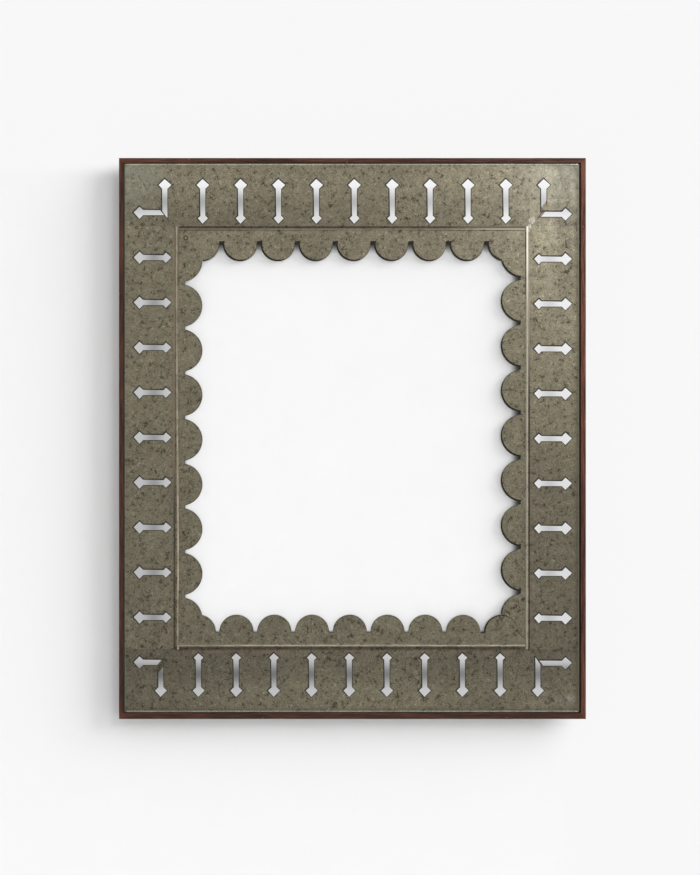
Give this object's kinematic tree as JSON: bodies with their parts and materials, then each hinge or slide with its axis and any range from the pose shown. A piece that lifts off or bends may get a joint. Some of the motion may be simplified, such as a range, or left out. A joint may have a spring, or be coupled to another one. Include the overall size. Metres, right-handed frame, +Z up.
{
  "type": "wall mirror",
  "caption": "Rectangular wall mirror in a pierced tin frame with diamond-ended slots and scalloped inner strips, set in a slim mitred wooden rim with hanging rings on the back.",
  "frame": {"origin": "middle of the outline on the wall plane, at the back of the wooden rim", "axes": "+X to the right and +Z up, seen from the front; +Y points into the wall and the front faces -Y"},
  "size_m": [0.61, 0.0291, 0.733],
  "materials": {
    "stained_wood": "thin red-brown stain, satin, worn along the edges",
    "aged_tin": "aged tinplate with a mottled olive-grey patina",
    "dark_tin": "oxidised tinplate, dull",
    "solder": "dull lead-tin solder",
    "silvered_glass": "clear glass silvered on the back",
    "grey_board": "matte grey-brown chipboard",
    "steel": "dull zinc-plated steel"
  },
  "bodies": {
    "frame": {"rim_rail_left": "stained_wood", "rim_rail_right": "stained_wood", "rim_rail_top": "stained_wood", "rim_rail_bottom": "stained_wood", "band_panel_left": "aged_tin", "band_panel_right": "aged_tin", "band_panel_top": "aged_tin", "band_panel_bottom": "aged_tin", "corner_seam_top_left": "solder", "corner_seam_bottom_right": "solder", "corner_lap_top_right": "aged_tin", "corner_lap_bottom_left": "aged_tin", "bead_left": "aged_tin", "bead_right": "aged_tin", "bead_top": "aged_tin", "bead_bottom": "aged_tin", "scallop_strip_left": "aged_tin", "scallop_strip_right": "aged_tin", "scallop_strip_top": "aged_tin", "scallop_strip_bottom": "aged_tin", "tray_rail_left": "dark_tin", "tray_rail_right": "dark_tin", "tray_rail_top": "dark_tin", "tray_rail_bottom": "dark_tin", "mirror_glass": "silvered_glass", "backing_board": "grey_board", "corner_rivet": "steel", "corner_brads": "steel", "flange_tacks": "steel", "hanger_strap_left": "steel", "hanger_strap_right": "steel", "hanger_screws": "steel"},
    "ring_left": {"hanger_ring_left": "steel"},
    "ring_right": {"hanger_ring_right": "steel"}
  },
  "joints": [
    {"name": "ring_left_swing", "type": "hinge", "parent": "frame", "child": "ring_left", "pos_m": [-0.29725, 0.00205, 0.2165], "axis": [1, 0, 0], "range_deg": [0, 180]},
    {"name": "ring_right_swing", "type": "hinge", "parent": "frame", "child": "ring_right", "pos_m": [0.29685, 0.00205, 0.2165], "axis": [1, 0, 0], "range_deg": [0, 180]}
  ]
}
